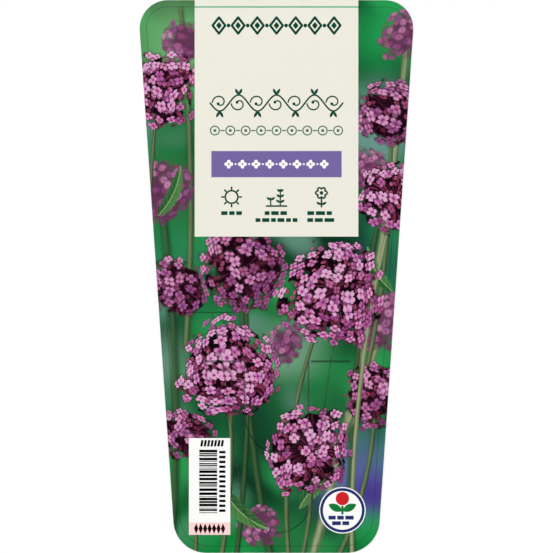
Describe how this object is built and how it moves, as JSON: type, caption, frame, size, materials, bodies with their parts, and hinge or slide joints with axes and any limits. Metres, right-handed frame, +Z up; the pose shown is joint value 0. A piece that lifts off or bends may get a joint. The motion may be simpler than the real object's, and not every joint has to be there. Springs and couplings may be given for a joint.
{
  "type": "plant label",
  "caption": "Flat die-cut plastic plant label, tapered with rounded corners, with two nested U-cut tongues, either of which hooks over a flower pot's rim.",
  "frame": {"origin": "middle of the bounding box of the label's back face, on the surface that the label lies on", "axes": "+X across the label, to the right as it is read; +Y along it, towards its wide head; +Z up, out of its printed front"},
  "size_m": [0.1084, 0.219, 0.0005],
  "materials": {
    "printed_plastic": "white polypropylene sheet with a satin varnished colour print on its front: lilac flowers on blurred green, a cream panel and a violet band"
  },
  "bodies": {
    "root": {"label_sheet": "printed_plastic"}
  },
  "joints": []
}
